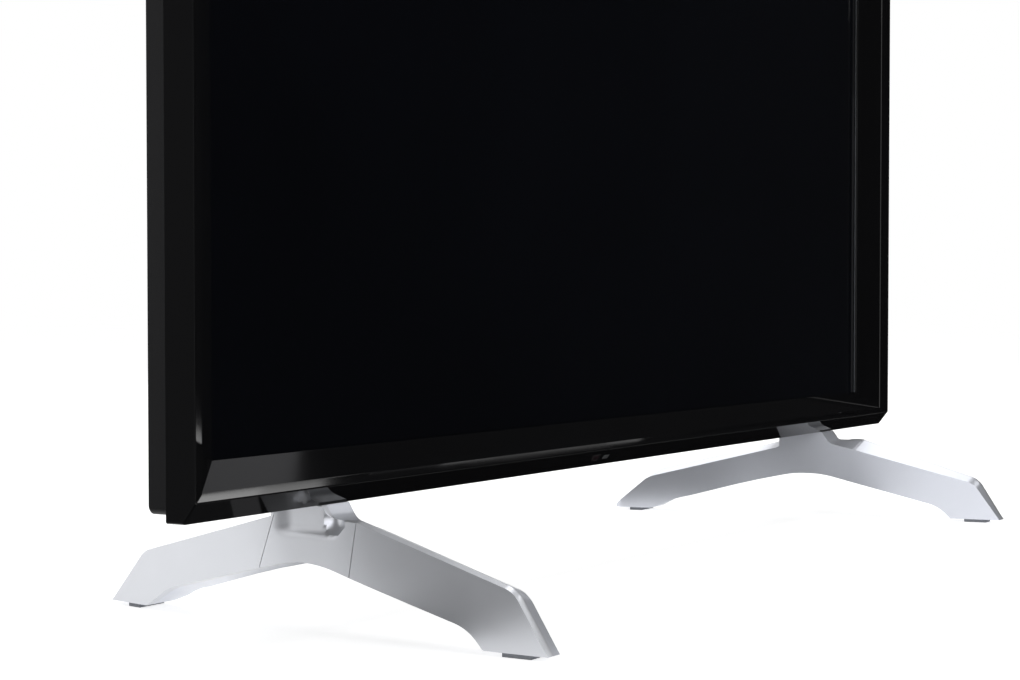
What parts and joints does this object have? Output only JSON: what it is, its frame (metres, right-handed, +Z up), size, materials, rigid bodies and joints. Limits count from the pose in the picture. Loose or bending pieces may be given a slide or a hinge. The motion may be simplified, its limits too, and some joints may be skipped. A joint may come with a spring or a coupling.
{
  "type": "flat screen television",
  "caption": "Flat screen television with a bevelled gloss black frame, grained rear cover, pressing edge keys and two splayed silver arch feet.",
  "frame": {"origin": "on the surface that the feet stand on, mid-width, midway between the toes' front ends and the heels' rear ends", "axes": "+X to the viewer's right, +Y to the back, +Z up; the picture faces -Y"},
  "size_m": [0.9554, 0.3174, 0.6322],
  "materials": {
    "frame_gloss_black": "piano-black moulded plastic, high gloss",
    "cover_black": "black moulded plastic with a fine leather grain",
    "smoked_window": "smoked infrared window",
    "light_guide": "frosted light guide",
    "board_green": "green circuit board",
    "board_tan": "tan circuit board",
    "zinc_steel": "zinc-coated pressed steel",
    "screen_glass": "dark anti-glare glass",
    "white_plastic": "white plastic",
    "optical_film": "translucent optical film",
    "bar_aluminium": "plain aluminium",
    "can_aluminium": "sleeved can",
    "clear_lens": "clear moulded lens",
    "amber_tape": "amber flexible tape",
    "ribbon_white": "white flat cable",
    "screw_steel": "zinc-plated screw",
    "screw_black": "blackened screw",
    "bush_steel": "turned steel bush",
    "dark_plastic": "black moulded plastic",
    "socket_steel": "nickel-plated socket shell",
    "cone_paper": "pressed paper cone",
    "rubber_black": "rubber bush",
    "rubber_grey": "grey rubber pad",
    "key_black": "satin black key",
    "foot_silver": "satin silver cast alloy",
    "foot_skin_silver": "satin silver skin plate"
  },
  "bodies": {
    "cabinet": {"front_frame": "frame_gloss_black", "rear_cover": "cover_black", "terminal_bay": "cover_black", "mains_bay": "cover_black", "remote_window": "smoked_window", "standby_light": "light_guide", "sensor_board": "board_green", "glass_clamp_frame": "zinc_steel", "display_glass": "screen_glass", "panel_carrier_frame": "white_plastic", "prism_film": "optical_film", "diffuser_film": "optical_film", "diffuser_plate": "white_plastic", "film_supports": "white_plastic", "reflector_sheet": "white_plastic", "light_bars": "bar_aluminium", "light_lenses": "clear_lens", "backlight_tray": "zinc_steel", "driver_tapes": "amber_tape", "source_boards": "board_green", "ribbon_cables": "ribbon_white", "timing_board": "board_green", "main_board": "board_green", "power_board": "board_tan", "board_screws": "screw_steel", "power_transformers": "dark_plastic", "power_capacitors": "can_aluminium", "processor_chip": "dark_plastic", "processor_heat_sink": "bar_aluminium", "card_slot": "socket_steel", "usb_sockets": "socket_steel", "hdmi_sockets": "socket_steel", "network_socket": "socket_steel", "aerial_socket": "socket_steel", "sound_sockets": "dark_plastic", "mains_inlet": "dark_plastic", "speaker_box_left": "dark_plastic", "speaker_box_right": "dark_plastic", "speaker_drivers": "cone_paper", "speaker_grommets": "rubber_black", "key_board": "board_green", "key_switches": "dark_plastic", "cover_screws": "screw_black", "wall_mount_bushes": "bush_steel", "foot_body_left": "foot_silver", "foot_body_right": "foot_silver", "foot_toe_cover_left": "foot_skin_silver", "foot_toe_cover_right": "foot_skin_silver", "foot_neck_cover_left": "foot_skin_silver", "foot_neck_cover_right": "foot_skin_silver", "foot_heel_cover_left": "foot_skin_silver", "foot_heel_cover_right": "foot_skin_silver", "foot_pads": "rubber_grey", "foot_brackets": "zinc_steel", "foot_screws": "screw_black"},
    "key_power": {"key_power": "key_black"},
    "key_source": {"key_source": "key_black"},
    "key_menu": {"key_menu": "key_black"},
    "key_down": {"key_down": "key_black"},
    "key_up": {"key_up": "key_black"}
  },
  "joints": [
    {"name": "key_power_press", "type": "slide", "parent": "cabinet", "child": "key_power", "axis": [-1, 0, 0], "range_m": [0, 0.0007], "stiffness_N_per_m": 600},
    {"name": "key_source_press", "type": "slide", "parent": "cabinet", "child": "key_source", "axis": [-1, 0, 0], "range_m": [0, 0.0007], "stiffness_N_per_m": 600},
    {"name": "key_menu_press", "type": "slide", "parent": "cabinet", "child": "key_menu", "axis": [-1, 0, 0], "range_m": [0, 0.0007], "stiffness_N_per_m": 600},
    {"name": "key_down_press", "type": "slide", "parent": "cabinet", "child": "key_down", "axis": [-1, 0, 0], "range_m": [0, 0.0007], "stiffness_N_per_m": 600},
    {"name": "key_up_press", "type": "slide", "parent": "cabinet", "child": "key_up", "axis": [-1, 0, 0], "range_m": [0, 0.0007], "stiffness_N_per_m": 600}
  ]
}
